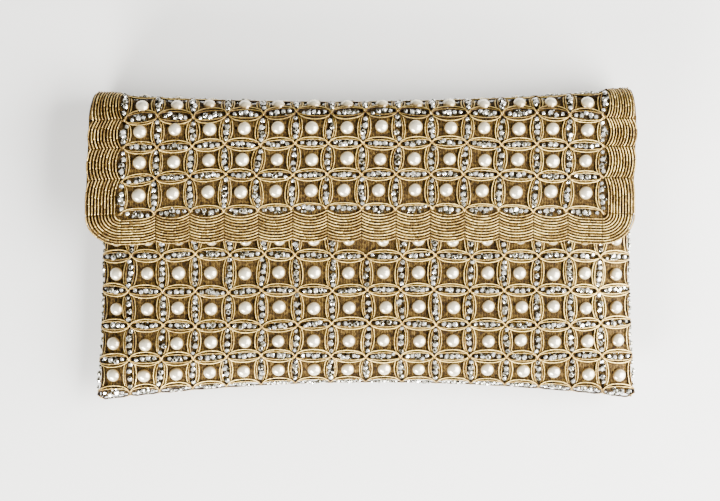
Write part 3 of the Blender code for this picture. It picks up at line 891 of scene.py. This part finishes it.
def make_crystals(settings):
    """The crystals of every petal."""
    shape = crystal_template()
    rng = np.random.default_rng(settings.seed + 1)
    everything = petals(settings)
    for group in GROUPS:
        spots, radii, lifts = [], [], []
        mine = [p for p in everything if p[0] == group]
        for petal in mine:
            made = petal_stones(petal, settings, rng)
            spots += made[0]
            radii += made[1]
            lifts += made[2]
        spots, radii, lifts = np.array(spots), np.array(radii), np.array(lifts)
        points, normals = surface(mine[0][1], spots[:, 0], spots[:, 1])
        small = radii < settings.crystal_radius * SMALL_STONE
        # small stones get dimmer painted reflections
        sparkle = np.where(small, SMALL_STONE, 1.0)
        piece = scattered("crystals_" + group, shape, points + normals * lifts[:, None], normals,
                          radii, 1.15, 0.10, rng, sparkle)
        settle(piece, group, "crystal")


def beside_border(petal, hand):
    """Whether the border's own cords take the place of a petal's, on that side."""
    _, zone, first, last, lying = petal
    if zone != "chain":
        return False
    if lying:
        return max(abs(first[1]), abs(last[1])) < 0.004 and hand < 0
    outermost = abs(first[0]) > (FLAP_COLUMNS - 0.5) * FLAP_PITCH and first[1] < CHAIN_FOLD
    return outermost and hand * first[0] < 0


END_SHADE = 0.9                 # painted shade: how much darker the cords are painted where they dive in at a crossing
UPRIGHT_RINGS, WOVEN_RINGS = 11, 13


def standing_cords(mine, settings, rng):
    """The doubled cords down both sides of each upright petal."""
    share = np.linspace(-1, 1, UPRIGHT_RINGS)
    # painted shade where the cord dives in at a crossing
    ends = END_SHADE * np.exp(-((1 - np.abs(share)) / 0.16) ** 2)
    paths, normals, tones = [], [], []
    for petal in mine:
        middle, along, sideways, length = petal_frame(petal)
        for hand in (-1, 1):
            if beside_border(petal, hand):
                continue
            for lane in (0, 1):
                wide = settings.petal_half_width - settings.cord_pitch * (1 - lane)
                wide *= rng.uniform(0.94, 1.05)
                reach = length / 2 - (0.0004 if lane else 0.0012)
                bulge = np.clip(1 - share ** 2, 0, 1) ** 0.54
                aside = hand * (0.0003 + (wide - 0.0003) * bulge)
                spot = middle + np.outer(share * reach, along) + np.outer(aside, sideways)
                point, normal = surface(petal[1], spot[:, 0], spot[:, 1])
                lift = 0.00045 + 0.0006 * bulge * (1 - lane * 0.6)
                paths.append(point + normal * lift[:, None])
                normals.append(normal)
                tones.append(0.10 + 0.55 * lane - ends)
    return np.array(paths), np.array(normals), np.array(tones)


def woven_cords(mine, settings, rng):
    """The doubled cords of the petals lying across, which cross over between one and the next."""
    share = np.linspace(-1, 1, WOVEN_RINGS)
    # painted shade where the cord dives in at a crossing
    ends = END_SHADE * np.exp(-((1 - np.abs(share)) / 0.12) ** 2)
    paths, normals, tones = [], [], []
    for petal in mine:
        middle, along, sideways, length = petal_frame(petal)
        for hand in (-1, 1):
            if beside_border(petal, hand):
                continue
            for lane in (0, 1):
                wide = settings.petal_half_width * 0.94 - settings.cord_pitch * (1 - lane)
                wide *= rng.uniform(0.94, 1.05)
                reach = length / 2 + (0.0002 if lane else 0.0009)
                bulge = np.sign(1 - np.abs(share) * 1.04) * np.abs(1 - (share * 1.04) ** 2) ** 0.52
                spot = middle + np.outer(share * reach, along)
                spot = spot + np.outer(hand * wide * bulge, sideways)
                point, normal = surface(petal[1], spot[:, 0], spot[:, 1])
                crossing = np.exp(-((np.abs(share) - 1) / 0.22) ** 2)
                lift = 0.00085 + 0.0004 * np.clip(bulge, 0, 1)
                lift = lift + crossing * (0.0007 if hand > 0 else 0.0003)
                paths.append(point + normal * lift[:, None])
                normals.append(normal)
                tones.append(0.25 + 0.75 * lane - ends)
    return np.array(paths), np.array(normals), np.array(tones)


def make_petal_cords(settings):
    """The cords round every petal, one piece for each group."""
    rng = np.random.default_rng(settings.seed + 2)
    everything = petals(settings)
    for group in GROUPS:
        upright = [p for p in everything if p[0] == group and not p[4]]
        lying = [p for p in everything if p[0] == group and p[4]]
        made = []
        for paths, normals, tones in (standing_cords(upright, settings, rng),
                                      woven_cords(lying, settings, rng)):
            made.append(swept("cords", paths, normals, settings.cord_radius, settings.seed, tones))
        piece = joined("cords_" + group, made)
        settle(piece, group, "petal_cord")


BORDER_CORDS = 10
BORDER_OUT = 0.0007             # from the outermost petals to the first cord
BORDER_DEEP, BORDER_EVENS = 0.0023, 0.0007  # the first cord's scallops, and how much flatter the last's are
PATH_STEPS = 25
NOTCH_GAP = 0.00018             # the cords stop this far short of the notches between scallops


def scallop(share, depth):
    """How far a border cord bulges out, for a share of its cell from -1 to 1."""
    return depth * np.clip(1 - share ** 2, 0, 1) ** 0.8


def border_paths(settings):
    """Every border cord's path on the flap's coordinates, notch to notch, as lists of places."""
    half = FLAP_COLUMNS * FLAP_PITCH
    steps = np.linspace(-1, 1, PATH_STEPS)
    found = []
    for number in range(BORDER_CORDS):
        depth = BORDER_DEEP - BORDER_EVENS * number / (BORDER_CORDS - 1)
        down = BORDER_OUT + settings.border_pitch * number
        for cell in range(-FLAP_COLUMNS, FLAP_COLUMNS):
            u = (cell + (steps + 1) / 2) * FLAP_PITCH
            bulge = scallop(steps, depth)
            if cell == -FLAP_COLUMNS:
                bulge = np.where(steps < 0, depth, bulge)
            if cell == FLAP_COLUMNS - 1:
                bulge = np.where(steps > 0, depth, bulge)
            found.append(("flap", np.stack([u, -down - bulge], -1)))
        for hand in (-1, 1):
            pitch = settings.border_pitch * (1.19 if hand < 0 else 1.07)
            out = BORDER_OUT + pitch * number
            turn = np.linspace(0, math.pi / 2, PATH_STEPS)
            along = np.sin(turn) * (out + depth)
            below = np.cos(turn) * (down + depth)
            found.append(("flap", np.stack([hand * (half + along), -below], -1)))
            rows = CHAIN_PETALS[:7]
            for cell in range(len(rows) - 1):
                q = rows[cell] + (steps + 1) / 2 * (rows[cell + 1] - rows[cell])
                bulge = scallop(steps, depth)
                if cell == 0:
                    bulge = np.where(steps < 0, depth, bulge)
                u = hand * (half + (out + bulge) * border_narrow(q))
                group = group_of("chain", cell)
                found.append((group, np.stack([u, q], -1)))
    return found


def segments(path, rng, length=0.0046, gap=0.00003, points=7):
    """A path cut into short stitched lengths with a dark gap between them."""
    steps = np.linalg.norm(np.diff(path, axis=0), axis=1)
    run = np.concatenate([[0], np.cumsum(steps)])
    cuts = [0.0]
    while cuts[-1] < run[-1] - length * 0.6:
        cuts.append(cuts[-1] + length * rng.uniform(0.65, 1.3))
    cuts[-1] = run[-1]
    if len(cuts) < 2:
        cuts = [0.0, run[-1]]
    made = []
    for start, end in zip(cuts, cuts[1:]):
        first = start + (NOTCH_GAP if start == 0 else gap)
        last = end - (NOTCH_GAP if end == run[-1] else gap)
        spots = np.linspace(first, last, points)
        aside = rng.normal(0, 0.00003)
        u = np.interp(spots, run, path[:, 0])
        w = np.interp(spots, run, path[:, 1])
        made.append(np.stack([u + aside, w + aside], -1))
    return made


def make_border(settings):
    """The flap's scalloped border, carried over the fold."""
    found = border_paths(settings)
    rng = np.random.default_rng(settings.seed + 3)
    for group in ("flap", "fold_front", "fold_back"):
        pieces = []
        for owner, path in found:
            if owner == group:
                pieces += segments(path, rng)
        spots = np.array(pieces)
        points, normals = surface("chain", spots[..., 0], spots[..., 1])
        lift = 0.0006 + rng.normal(0, 0.00007, (len(spots), 1, 1))
        piece = swept("bullion_" + group, points + normals * lift, normals,
                      settings.border_cord_radius, settings.seed)
        settle(piece, group, "bullion")


def sheet_grid(name, columns, rows, place, thickness):
    """A closed sheet of cloth: a grid laid on the surface that place(across, along, depth) gives,
    and its inner side laid the cloth's thickness deeper."""
    bm = bmesh.new()
    bmesh.ops.create_grid(bm, x_segments=columns, y_segments=rows, size=1.0)
    outer = bm.verts[:]
    flat = np.array([v.co for v in outer])
    made = bmesh.ops.extrude_face_region(bm, geom=bm.faces[:])
    inner = [g for g in made["geom"] if isinstance(g, bmesh.types.BMVert)]
    flat_inner = np.array([v.co for v in inner])
    for verts, spots, depth in ((outer, flat, 0.0), (inner, flat_inner, thickness)):
        laid = place(spots[:, 0], spots[:, 1], depth)
        for vert, spot in zip(verts, laid):
            vert.co = spot
    outwards(bm)
    mesh = bpy.data.meshes.new(name)
    bm.to_mesh(mesh)
    bm.free()
    for face in mesh.polygons:
        face.use_smooth = True
    return linked(name, mesh)


def chain_place(low, high, depth, inset):
    """Places a sheet on the fold between two runs past the front roll's start."""
    def place(across, along, extra):
        run = low + (high - low) * (along + 1) / 2
        q = run + FOLD_MID_Y - FLAP_ROW_Y
        hand = np.where(across < 0, -1.0, 1.0)
        u = across * flap_half(q, -1.0, hand, inset)
        y, z, _ = rolled(u, run, fold_line(share_of(u)), ROLL - depth - extra)
        return np.stack([flap_shifted(u, q), y, z], -1)
    return place


def panel_place(length, face, depth):
    """Places a sheet on the front or the back, from the bottom seam to a length up it."""
    def place(across, along, extra):
        return body_surface(across * SIDE_ARC, (along + 1) / 2 * length, face, depth + extra)[0]
    return place


BORDER_WIDTHS = (0.0165, 0.0149)  # from the outermost petals to the ground's edge, left and right
BORDER_LOW, LOW_SCALLOP = 0.0131, 0.0016


def flap_half(q, low, hand, inset):
    """The flap sheet's half width at a distance up from its lowest row, rounded round the corners."""
    reach = np.where(hand < 0, *BORDER_WIDTHS) * border_narrow(q) - inset
    corner_share = np.sqrt(np.clip(1 - (np.minimum(q, 0) / low) ** 2, 0, 1))
    return FLAP_COLUMNS * FLAP_PITCH + reach * corner_share


def flap_low(u, inset):
    """The flap sheet's lower edge, scalloped as the border is."""
    share = np.mod(u / FLAP_PITCH, 1) * 2 - 1
    past_columns = np.abs(u) > (FLAP_COLUMNS - 0.5) * FLAP_PITCH
    bulge = np.where(past_columns, LOW_SCALLOP, scallop(share, LOW_SCALLOP))
    return -(BORDER_LOW + bulge) + inset


def flap_place(depth, inset):
    """Places a sheet on the flap, from its lower edge to the fold."""
    def place(across, along, extra):
        ease = ((along + 1) / 2) ** 1.5
        rough_low = -FLAP_EDGE_DEEP + inset
        hand = np.where(across < 0, -1.0, 1.0)
        rough_q = rough_low + ease * (FLAP_EDGE_DEEP + FOLD_MID_Y - FLAP_ROW_Y)
        u = across * flap_half(rough_q, rough_low, hand, inset)
        run, line = chain_run(u, np.zeros_like(u))
        start = -run
        low = flap_low(u, inset)
        q = low + ease * (start - low)
        bow = low_bow(share_of(u), q) - low_bow(share_of(u), np.zeros_like(q))
        y = line + (q - start) + bow
        z = np.full_like(y, TOP_Z - BEADS - depth - extra)
        return np.stack([flap_shifted(u, q), y, z], -1)
    return place


GROUND_DEEP, WADDING_DEEP, LINING_DEEP = 0.0002, 0.0014, 0.0025
LINING_INSET = 0.0032           # the lining stops this far inside the flap's and the fold's edges
LINING_SHORT = 0.001            # and this far below the front's mouth


def panel_lengths():
    """How far up from the bottom seam the front's mouth and the back's fold are, along the cloth."""
    to_mouth = MOUTH_Y - BOTTOM_MID_Y - BOTTOM_ROUNDING + BOTTOM_TABLE[0][-1]
    return to_mouth, CHAIN_END - CHAIN_FOLD


def lay_sheets(sheets, thickness, finish):
    """Makes, dresses and attaches stretched sheets, each a name, group, grid, place and nodes."""
    for name, group, grid, place, nodes in sheets:
        piece = sheet_grid(name, *grid, place, thickness)
        if nodes:
            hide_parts(*nodes)
        finish_with(piece, finish)
        attach(piece, group)


def make_ground(settings):
    """The ground fabric: front, back, both halves of the fold, and the flap."""
    to_mouth, to_fold = panel_lengths()
    fold_back = chain_place(FOLD_SHEETS_MEET, WRAP, GROUND_DEEP, 0.0)
    fold_front = chain_place(0, FOLD_SHEETS_MEET, GROUND_DEEP, 0.0)
    lay_sheets([
        ("fabric_front", "front", (96, 60), panel_place(to_mouth, 1.0, GROUND_DEEP),
         ("front_fabric",)),
        ("fabric_back", "back", (96, 60), panel_place(to_fold, -1.0, GROUND_DEEP),
         ("back_fabric",)),
        ("fabric_fold_back", "fold_back", (96, 14), fold_back, ()),
        ("fabric_fold_front", "fold_front", (96, 14), fold_front, ("fold_fabric",)),
        ("fabric_flap", "flap", (96, 40), flap_place(GROUND_DEEP, 0.0), ("flap_fabric",)),
    ], settings.fabric_thickness, "ground_fabric")


def make_lining(settings):
    """The satin lining, the slip pocket and the fold's interlining."""
    to_mouth, to_fold = panel_lengths()
    halves = {"back": (FOLD_SHEETS_MEET, WRAP), "front": (0, FOLD_SHEETS_MEET)}
    lining = {half: chain_place(*runs, LINING_DEEP, LINING_INSET) for half, runs in halves.items()}
    wadding = {half: chain_place(*runs, WADDING_DEEP, LINING_INSET) for half, runs in halves.items()}
    thick = settings.lining_thickness
    lay_sheets([
        ("lining_front", "front", (80, 50),
         panel_place(to_mouth - LINING_SHORT, 1.0, LINING_DEEP), ("front_lining",)),
        ("lining_back", "back", (80, 50), panel_place(to_fold, -1.0, LINING_DEEP),
         ("back_lining",)),
        ("lining_fold_back", "fold_back", (80, 12), lining["back"], ()),
        ("lining_fold_front", "fold_front", (80, 12), lining["front"], ("fold_lining",)),
        ("lining_flap", "flap", (80, 30), flap_place(LINING_DEEP, LINING_INSET),
         ("flap_lining",)),
    ], thick, "satin")
    lay_sheets([
        ("interlining_fold_back", "fold_back", (60, 12), wadding["back"], ()),
        ("interlining_fold_front", "fold_front", (60, 12), wadding["front"],
         ("fold_interlining",)),
    ], thick, "wadding")
    make_pocket()


def make_pocket():
    """A slip pocket lying on the back lining, with a turned hem along its top."""
    low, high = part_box("slip_pocket")
    hem_at, hem_width, hem_lift = 0.94, 0.04, 0.0003

    def place(across, along, extra):
        x = (low.x + high.x) / 2 + across * (high.x - low.x) / 2
        share = (along + 1) / 2
        y = low.y + (high.y - low.y) * share
        z = high.z + hem_lift * np.exp(-((share - hem_at) / hem_width) ** 2) - extra
        return np.stack([x, y, z], -1)
    piece = sheet_grid("slip_pocket_satin", 60, 40, place, high.z - low.z)
    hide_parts("slip_pocket")
    finish_with(piece, "satin")
    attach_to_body(piece, "bag")


def dress_nodes():
    """Finishes for the boards and the magnetic snap, whose CAD shapes stay."""
    finishes = {
        "front_board": ("board", "stiffener_board"),
        "back_board": ("board", "stiffener_board"),
        "flap_board": ("board", "stiffener_board"),
        "snap_magnet": ("magnet_metal", "magnet"),
        "snap_socket_base": ("snap_metal", "snap_metal"),
        "snap_socket_case": ("snap_metal", "snap_metal"),
        "snap_socket_washer": ("snap_metal", "snap_metal"),
        "snap_stud": ("snap_metal", "snap_metal"),
        "snap_stud_washer": ("snap_metal", "snap_metal"),
    }
    for name, (finish, slot) in finishes.items():
        piece = bpy.data.objects[name]
        finish_with(piece, finish)


# ---------------------------------------------------------------- the stage

CAMERA_PLACE = (-0.0021, -0.0035, 1.0 + TOP_Z)
CAMERA_LENS = 36.0 / 0.3363
LIGHT_TARGET = (0, 0, 0.015)
LIGHT_COLOUR = (1.0, 0.99, 0.97)


def light(name, place, size, power):
    """A soft rectangular light turned to the purse."""
    data = bpy.data.lights.new(name, "AREA")
    data.shape = "RECTANGLE"
    data.size, data.size_y = size
    data.energy = power
    data.color = LIGHT_COLOUR
    lamp = bpy.data.objects.new(name, data)
    lamp.location = place
    towards = Vector(LIGHT_TARGET) - Vector(place)
    lamp.rotation_euler = towards.to_track_quat("-Z", "Y").to_euler()
    bpy.context.scene.collection.objects.link(lamp)


def make_stage():
    """A pale floor, soft studio light and the camera straight above."""
    bm = bmesh.new()
    bmesh.ops.create_grid(bm, x_segments=1, y_segments=1, size=2.0)
    mesh = bpy.data.meshes.new("floor")
    bm.to_mesh(mesh)
    bm.free()
    floor = linked("floor", mesh)
    material, _, _ = shader("floor_paper", (0.68, 0.68, 0.665), 0.0, 0.6)
    floor.data.materials.append(material)
    world = bpy.data.worlds.new("studio")
    world.use_nodes = True
    sky = world.node_tree.nodes["Background"]
    sky.inputs["Color"].default_value = (1.0, 0.99, 0.955, 1)
    sky.inputs["Strength"].default_value = 0.27
    bpy.context.scene.world = world
    light("key", (0.74, -0.16, 0.46), (1.05, 1.05), 92.0)
    light("low", (-0.46, -0.78, 0.38), (0.60, 0.30), 46.0)
    camera_data = bpy.data.cameras.new("camera")
    camera_data.lens = CAMERA_LENS
    camera = bpy.data.objects.new("camera", camera_data)
    camera.location = CAMERA_PLACE
    bpy.context.scene.collection.objects.link(camera)
    bpy.context.scene.camera = camera


# ---------------------------------------------------------------- the add-on


class ClutchSettings(bpy.types.PropertyGroup):
    """The sizes and colours that the embroidery is made to."""
    seed: bpy.props.IntProperty(
        name="Seed", description="Draws the hand-made irregularity", default=11, min=0)
    wander: bpy.props.FloatProperty(
        name="Wander", description="How far the lattice strays from even rows",
        default=0.00050, min=0.0, max=0.002, precision=5, unit="LENGTH", subtype="DISTANCE")
    pearl_radius: bpy.props.FloatProperty(
        name="Pearl Radius", description="Radius of the half pearls",
        default=0.00335, min=0.001, max=0.006, precision=5, unit="LENGTH", subtype="DISTANCE")
    crystal_radius: bpy.props.FloatProperty(
        name="Crystal Radius", description="Radius of the larger crystals",
        default=0.00150, min=0.0005, max=0.003, precision=5, unit="LENGTH", subtype="DISTANCE")
    petal_half_width: bpy.props.FloatProperty(
        name="Petal Half Width", description="From a petal's middle to its outer cord",
        default=0.0031, min=0.001, max=0.006, precision=5, unit="LENGTH", subtype="DISTANCE")
    cord_radius: bpy.props.FloatProperty(
        name="Cord Radius", description="Radius of the cords round the petals",
        default=0.00041, min=0.0001, max=0.002, precision=5, unit="LENGTH", subtype="DISTANCE")
    cord_pitch: bpy.props.FloatProperty(
        name="Cord Pitch", description="Between the two cords of a pair",
        default=0.00112, min=0.0002, max=0.003, precision=5, unit="LENGTH", subtype="DISTANCE")
    border_pitch: bpy.props.FloatProperty(
        name="Border Pitch", description="Between neighbouring cords of the flap's border",
        default=0.00133, min=0.0002, max=0.003, precision=5, unit="LENGTH", subtype="DISTANCE")
    border_cord_radius: bpy.props.FloatProperty(
        name="Border Cord Radius", description="Radius of the border's cords",
        default=0.00043, min=0.0001, max=0.002, precision=5, unit="LENGTH", subtype="DISTANCE")
    fabric_thickness: bpy.props.FloatProperty(
        name="Fabric Thickness", description="Thickness of the ground fabric",
        default=0.0008, min=0.0002, max=0.003, precision=5, unit="LENGTH", subtype="DISTANCE")
    lining_thickness: bpy.props.FloatProperty(
        name="Lining Thickness", description="Thickness of the satin lining",
        default=0.0006, min=0.0002, max=0.003, precision=5, unit="LENGTH", subtype="DISTANCE")
    bullion_colour: bpy.props.FloatVectorProperty(
        name="Bullion Colour", description="The border cords where light catches them",
        default=(1.0, 0.76, 0.27), min=0.0, max=1.0, size=3, subtype="COLOR")
    cord_colour: bpy.props.FloatVectorProperty(
        name="Cord Colour", description="The petal cords where light catches them",
        default=(1.0, 0.74, 0.24), min=0.0, max=1.0, size=3, subtype="COLOR")
    pearl_colour: bpy.props.FloatVectorProperty(
        name="Pearl Colour", description="The pearls on top",
        default=(0.67, 0.61, 0.46), min=0.0, max=1.0, size=3, subtype="COLOR")
    crystal_colour: bpy.props.FloatVectorProperty(
        name="Crystal Colour", description="The crystals' brightest facets",
        default=(1.0, 1.0, 0.97), min=0.0, max=1.0, size=3, subtype="COLOR")
    fabric_colour: bpy.props.FloatVectorProperty(
        name="Fabric Colour", description="The ground fabric's lightest threads",
        default=(0.21, 0.125, 0.026), min=0.0, max=1.0, size=3, subtype="COLOR")
    satin_colour: bpy.props.FloatVectorProperty(
        name="Satin Colour", description="The lining",
        default=(0.52, 0.37, 0.18), min=0.0, max=1.0, size=3, subtype="COLOR")


class CLUTCH_OT_ground(bpy.types.Operator):
    """Lay the ground fabric over the body, the fold and the flap"""
    bl_idname = "clutch.ground"
    bl_label = "Ground Fabric"
    bl_options = {"REGISTER", "UNDO"}

    def execute(self, context):
        make_ground(context.scene.clutch)
        return {"FINISHED"}


class CLUTCH_OT_lining(bpy.types.Operator):
    """Line the purse with satin and add the slip pocket"""
    bl_idname = "clutch.lining"
    bl_label = "Lining"
    bl_options = {"REGISTER", "UNDO"}

    def execute(self, context):
        make_lining(context.scene.clutch)
        return {"FINISHED"}


class CLUTCH_OT_pearls(bpy.types.Operator):
    """Sew a pearl into every cell of the lattice"""
    bl_idname = "clutch.pearls"
    bl_label = "Pearls"
    bl_options = {"REGISTER", "UNDO"}

    def execute(self, context):
        make_pearls(context.scene.clutch)
        return {"FINISHED"}


class CLUTCH_OT_crystals(bpy.types.Operator):
    """Fill every petal with crystals"""
    bl_idname = "clutch.crystals"
    bl_label = "Crystals"
    bl_options = {"REGISTER", "UNDO"}

    def execute(self, context):
        make_crystals(context.scene.clutch)
        return {"FINISHED"}


class CLUTCH_OT_cords(bpy.types.Operator):
    """Lay the doubled cords round every petal"""
    bl_idname = "clutch.cords"
    bl_label = "Petal Cords"
    bl_options = {"REGISTER", "UNDO"}

    def execute(self, context):
        make_petal_cords(context.scene.clutch)
        return {"FINISHED"}


class CLUTCH_OT_border(bpy.types.Operator):
    """Lay the scalloped bullion border round the flap"""
    bl_idname = "clutch.border"
    bl_label = "Bullion Border"
    bl_options = {"REGISTER", "UNDO"}

    def execute(self, context):
        make_border(context.scene.clutch)
        return {"FINISHED"}


class CLUTCH_OT_hardware(bpy.types.Operator):
    """Finish the boards and the magnetic snap"""
    bl_idname = "clutch.hardware"
    bl_label = "Boards and Snap"
    bl_options = {"REGISTER", "UNDO"}

    def execute(self, context):
        dress_nodes()
        return {"FINISHED"}


class CLUTCH_OT_stage(bpy.types.Operator):
    """Set the floor, the lights and the camera"""
    bl_idname = "clutch.stage"
    bl_label = "Stage"
    bl_options = {"REGISTER", "UNDO"}

    def execute(self, context):
        make_stage()
        return {"FINISHED"}


class CLUTCH_PT_panel(bpy.types.Panel):
    """Lists the settings and the steps in the sidebar"""
    bl_idname = "CLUTCH_PT_panel"
    bl_label = "Embroidered Clutch"
    bl_space_type = "VIEW_3D"
    bl_region_type = "UI"
    bl_category = "Clutch"

    def draw(self, context):
        settings = context.scene.clutch
        for name in ClutchSettings.__annotations__:
            self.layout.prop(settings, name)
        for operator in OPERATORS:
            self.layout.operator(operator.bl_idname)


OPERATORS = (CLUTCH_OT_ground, CLUTCH_OT_lining, CLUTCH_OT_pearls, CLUTCH_OT_crystals,
             CLUTCH_OT_cords, CLUTCH_OT_border, CLUTCH_OT_hardware, CLUTCH_OT_stage)
CLASSES = (ClutchSettings, *OPERATORS, CLUTCH_PT_panel)


def register():
    """Registers the classes and hangs the settings on the scene."""
    for cls in CLASSES:
        bpy.utils.register_class(cls)
    bpy.types.Scene.clutch = bpy.props.PointerProperty(type=ClutchSettings)


def unregister():
    """Takes it all away again."""
    del bpy.types.Scene.clutch
    for cls in reversed(CLASSES):
        bpy.utils.unregister_class(cls)


def main():
    """Builds the whole purse."""
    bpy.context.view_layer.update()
    register()
    bpy.ops.clutch.ground()
    bpy.ops.clutch.lining()
    bpy.ops.clutch.pearls()
    bpy.ops.clutch.crystals()
    bpy.ops.clutch.cords()
    bpy.ops.clutch.border()
    bpy.ops.clutch.hardware()
    bpy.ops.clutch.stage()


if __name__ == "__main__":
    main()
